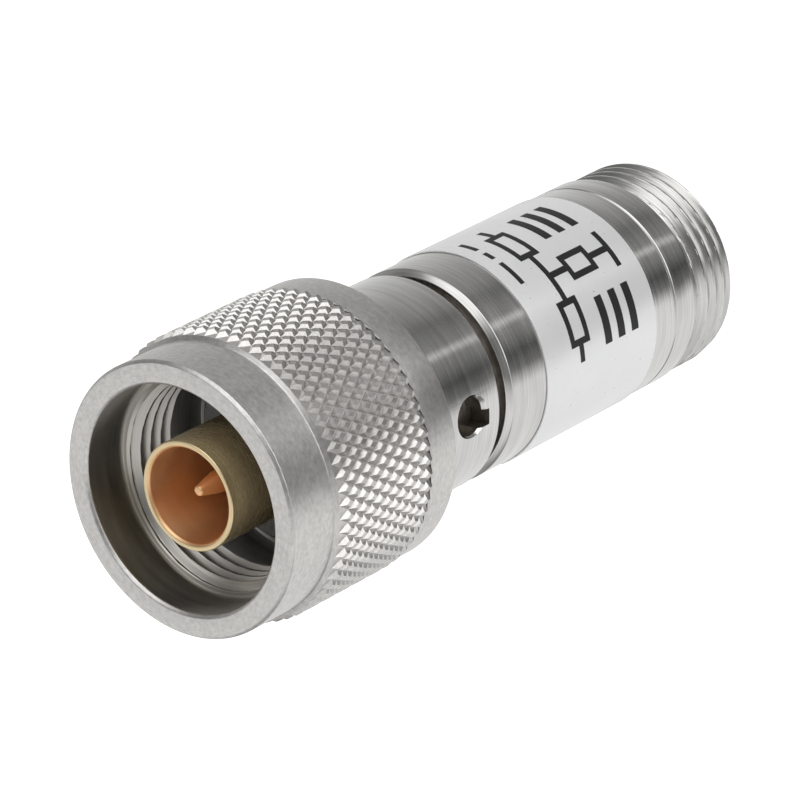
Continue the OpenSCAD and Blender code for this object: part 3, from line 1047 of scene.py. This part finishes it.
@dataclass
class PlugEnd:
    """Plug body with its gold-plated sleeve and centre pin."""

    finishes: Finishes
    pocket_r: float = 5.02
    stem_r: float = 6.5
    # Depth below the stem's outside to which its faces take painted shade
    stem_skin: float = 0.1
    bearing_r: float = 6.6
    bearing_edge: float = 0.04
    flange_r: float = 7.25
    flange_len: float = 1.1
    flange_chamfer: float = 0.3
    sleeve_bore_r: float = 4.02
    seat_depth: float = 5.9
    line_r: float = 3.5
    sleeve_r: float = 4.0
    sleeve_root_r: float = 5.0
    sleeve_rim_edge: float = 0.14
    sleeve_chamfer: float = 0.16
    sleeve_chamfer_edge: float = 0.06
    inner_r: float = 1.52
    shoulder_edge: float = 0.1
    stub_r: float = 1.0
    pin_r: float = 0.8
    pin_root_edge: float = 0.08
    pin_len: float = 4.2
    pin_taper: float = 2.0
    pin_taper_round: float = 0.3
    pin_tip_r: float = 0.35
    pin_tip_round: float = 0.2
    pin_steps: int = 96
    edge: float = 0.07
    small_edge: float = 0.05
    fine_edge: float = 0.03

    def build(self) -> None:
        """Turns and dresses the plug body, its sleeve and its pin."""
        bottom, top = levels("plug_body")
        collar_top = levels("lock_collar")[1]
        thrust_bottom = top - self.flange_len
        seat = top - self.seat_depth
        section = [
            Corner(self.pocket_r, bottom, self.edge),
            Corner(self.stem_r, bottom, self.edge),
            Corner(self.stem_r, collar_top),
            Corner(self.bearing_r, collar_top, self.bearing_edge),
            Corner(self.bearing_r, thrust_bottom),
            Corner(self.flange_r, thrust_bottom, self.edge),
            Corner(self.flange_r, top - self.flange_chamfer, self.edge),
            Corner(self.flange_r - self.flange_chamfer, top, self.edge),
            Corner(self.sleeve_bore_r, top, self.edge),
            Corner(self.sleeve_bore_r, seat),
            Corner(self.pocket_r, seat),
        ]
        body = turn("plug_turned", section)
        finish_piece(body, self.finishes.body_steel, Slot.STEEL, "plug_body")
        # The stem below the groove is painted with shade
        stem = (self.stem_r - self.stem_skin, self.stem_r + PICK)
        dress_within(body, self.finishes.shaded_recess_steel, stem, (bottom, collar_top + PICK))
        thrust = (self.sleeve_bore_r + PICK, self.flange_r + PICK)
        dress_within(body, self.finishes.blasted_steel, thrust, (thrust_bottom + PICK, top + PICK))
        self.sleeve(seat)
        self.pin()

    def sleeve(self, seat: float) -> None:
        """Turns and dresses the contact sleeve.

        Args:
            seat: Level of the step that the sleeve's root rests on.
        """
        bottom, tip = levels("plug_outer_contact")
        section = [
            Corner(self.line_r, bottom, self.fine_edge),
            Corner(self.sleeve_root_r, bottom, self.small_edge),
            Corner(self.sleeve_root_r, seat, self.fine_edge),
            Corner(self.sleeve_r, seat),
            Corner(self.sleeve_r, tip, self.sleeve_rim_edge),
            Corner(self.line_r + self.sleeve_chamfer, tip, self.sleeve_chamfer_edge),
            Corner(self.line_r, tip - self.sleeve_chamfer, self.sleeve_chamfer_edge),
        ]
        sleeve = turn("sleeve_plated", section)
        finish_piece(sleeve, self.finishes.gold, Slot.GOLD, "plug_outer_contact")
        # The sleeve's outside takes the paler gold, a painted reflection of the dark nut around it
        outside = (self.line_r + self.sleeve_chamfer, self.sleeve_r + PICK)
        dress_within(sleeve, self.finishes.outer_gold_painted_reflection, outside, (seat + PICK, tip + PICK))

    def pin(self) -> None:
        """Turns and dresses the centre pin."""
        bottom, tip = levels("plug_center_pin")
        bead_top = levels("plug_bead")[1]
        shoulder = tip - self.pin_len
        section = [
            Corner(0, bottom),
            Corner(self.stub_r, bottom, self.small_edge),
            Corner(self.stub_r, bead_top),
            Corner(self.inner_r, bead_top, self.fine_edge),
            Corner(self.inner_r, shoulder, self.shoulder_edge),
            Corner(self.pin_r, shoulder, self.pin_root_edge),
            Corner(self.pin_r, tip - self.pin_taper, self.pin_taper_round),
            Corner(self.pin_tip_r, tip, self.pin_tip_round),
            Corner(0, tip),
        ]
        pin = turn("pin_plated", section, steps=self.pin_steps, closed=False)
        finish_piece(pin, self.finishes.gold, Slot.GOLD, "plug_center_pin")


@dataclass
class ResistorStack:
    """Pieces sealed inside the body, which keep their CAD shape and get their finish."""

    finishes: Finishes

    def dress(self) -> None:
        """Gives each sealed piece its material."""
        groups = (
            (self.finishes.polymer, ("plug_bead", "jack_bead")),
            (self.finishes.body_steel, ("spring_washer", "plug_line_tube", "jack_line_tube")),
            (self.finishes.gold, ("plug_contact_bellows", "jack_contact_bellows")),
            (self.finishes.gold, ("jack_center_contact", "disc_hub")),
            (self.finishes.ceramic, ("plug_series_rod", "jack_series_rod", "shunt_disc")),
        )
        for finish, names in groups:
            for name in names:
                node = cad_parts[name]
                node.data.materials.clear()
                node.data.materials.append(finish)
                LOG.info("%s: dressed", name)


@dataclass(frozen=True)
class Round:
    """Brightness of the surroundings between two heights: half of the radiance, by degrees from +X."""

    bottom: float
    top: float
    half: dict[float, float]


@dataclass
class Studio:
    """Pale floor, soft surroundings and the camera of the photograph."""

    # Radius and depth of the floor, in metres
    floor_radius: float = 3.0
    floor_drop: float = 0.05 * MM
    floor_sides: int = 64
    floor_colour: str = "#f4f4f4"
    floor_roughness: float = 0.9
    floor_glow: float = 0.7
    backdrop: str = "#fafafa"
    # The rounds hold half of the radiance, because the colours of a ramp end at one
    sky_strength: float = 2.0
    camera_mm: Vector = field(default_factory=lambda: Vector((130.21, -223.36, 297.45)))
    right: Vector = field(default_factory=lambda: Vector((-0.06866, -0.78196, -0.61954)))
    up: Vector = field(default_factory=lambda: Vector((0.93346, 0.16878, -0.31649)))
    focal_px: float = 5240.6
    image_px: float = 800.0
    sensor_mm: float = 36.0
    # From straight down to straight up; upright walls mirror the second round to the camera
    rounds: tuple[Round, ...] = (
        Round(-1.0, -0.97, {0: 0.1}),
        Round(-0.88, -0.45, {
            -180: 0.46, -139: 0.49, -111: 0.47, -104: 0.3, -95: 0.1, -79: 0.045, -63: 0.12, -53: 0.15,
            -47: 0.36, -41: 0.15, -31: 0.13, -15: 0.095, 1: 0.155, 17: 0.19, 33: 0.23, 49: 0.275,
            81: 0.345, 113: 0.44, 141: 0.45, 180: 0.46,
        }),
        Round(-0.2, 0.12, {
            -180: 0.14, -143: 0.12, -130: 0.4, -100: 0.45, -86: 0.45, -76: 0.98, -12: 0.98, 0: 0.6,
            14: 0.25, 42: 0.14, 70: 0.2, 100: 0.35, 140: 0.35, 165: 0.2, 180: 0.14,
        }),
        Round(0.4, 0.88, {
            -180: 0.4, -130: 0.5, -115: 0.4, -98: 0.12, -58: 0.12, -44: 0.3, -26: 0.7, 5: 0.75,
            20: 0.6, 34: 0.2, 50: 0.1, 63: 0.1, 85: 0.2, 105: 0.42, 122: 0.45, 150: 0.42, 180: 0.4,
        }),
        Round(0.95, 1.0, {-180: 0.35, -130: 0.4, -108: 0.1, 60: 0.1, 120: 0.3, 180: 0.35}),
    )

    def build(self) -> None:
        """Sets up the floor, the surroundings and the camera."""
        self.floor()
        self.surroundings()
        self.camera()
        view = bpy.context.scene.view_settings
        view.view_transform = "Standard"
        view.look = "None"

    def floor(self) -> None:
        """Adds the pale floor, lit from within so that it stays even, as on a light table."""
        bpy.ops.object.select_all(action="DESELECT")
        bpy.ops.mesh.primitive_circle_add(
            vertices=self.floor_sides, radius=self.floor_radius, fill_type="NGON",
            location=(0, 0, -self.floor_drop),
        )
        floor = bpy.context.active_object
        floor.name = "floor"
        made = new_material("pale_light_table")
        add_surface(made.node_tree, {
            "Base Color": linear(self.floor_colour), "Roughness": self.floor_roughness,
            "Emission Color": linear("#ffffff"), "Emission Strength": self.floor_glow,
        })
        made.cycles.emission_sampling = "NONE"
        floor.data.materials.append(made)
        floor.visible_glossy = False
        floor.visible_diffuse = False

    def surroundings(self) -> None:
        """Surrounds the object with soft boxes and dark flags, as bands of brightness."""
        world = bpy.data.worlds.new("studio")
        world.use_nodes = True
        tree = world.node_tree
        tree.nodes.clear()
        way = add_node(tree, "TexCoord").outputs["Generated"]
        split = add_node(tree, "SeparateXYZ", {0: way})
        angle = add_node(
            tree, "Math", {0: split.outputs["Y"], 1: split.outputs["X"]}, operation="ARCTAN2"
        )
        round_horizon = add_node(
            tree, "MapRange", {"Value": angle.outputs[0], "From Min": -math.pi, "From Max": math.pi}
        )
        bands = None
        for below, band in zip((None, *self.rounds), self.rounds):
            ramp = add_node(tree, "ValToRGB", {"Fac": round_horizon.outputs[0]})
            elements = ramp.color_ramp.elements
            while len(elements) > 1:
                elements.remove(elements[-1])
            for index, (degrees, half) in enumerate(sorted(band.half.items())):
                place = (degrees + 180) / 360
                stop = elements[0] if index == 0 else elements.new(place)
                stop.position = place
                stop.color = (half, half, half, 1)
            if below is None:
                bands = ramp.outputs["Color"]
                continue
            height = add_node(
                tree, "MapRange",
                {"Value": split.outputs["Z"], "From Min": below.top, "From Max": band.bottom},
                interpolation_type="SMOOTHSTEP",
            )
            bands = mix_colours(tree, height.outputs[0], bands, ramp.outputs["Color"])
        light = add_node(tree, "Background", {"Color": bands, "Strength": self.sky_strength})
        seen = add_node(tree, "Background", {"Color": linear(self.backdrop), "Strength": 1.0})
        path = add_node(tree, "LightPath")
        either = add_node(
            tree, "MixShader", {0: path.outputs["Is Camera Ray"], 1: light.outputs[0], 2: seen.outputs[0]}
        )
        add_node(tree, "OutputWorld", {"Surface": either.outputs[0]})
        world.cycles.sampling_method = "NONE"
        bpy.context.scene.world = world

    def camera(self) -> None:
        """Sets the camera where the photograph was taken from."""
        data = bpy.data.cameras.new("camera")
        data.sensor_width = self.sensor_mm
        data.lens = self.focal_px / self.image_px * self.sensor_mm
        data.clip_start = MM
        camera = bpy.data.objects.new("camera", data)
        bpy.context.scene.collection.objects.link(camera)
        right = self.right.normalized()
        back = right.cross(self.up).normalized()
        up = back.cross(right)
        turned = Matrix((right, up, back)).transposed().to_4x4()
        camera.matrix_world = Matrix.Translation(self.camera_mm * MM) @ turned
        bpy.context.scene.camera = camera


def main() -> None:
    """Builds the pieces in order, sets up the studio and notes the sizes."""
    logging.basicConfig(level=logging.INFO, format="%(message)s")
    Studio().build()
    finishes = Finishes()
    CouplingNut(finishes).build()
    LockCollar(finishes).build()
    LabelledTube(finishes).build()
    JackEnd(finishes).build()
    PlugEnd(finishes).build()
    ResistorStack(finishes).dress()


if __name__ == "__main__":
    main()
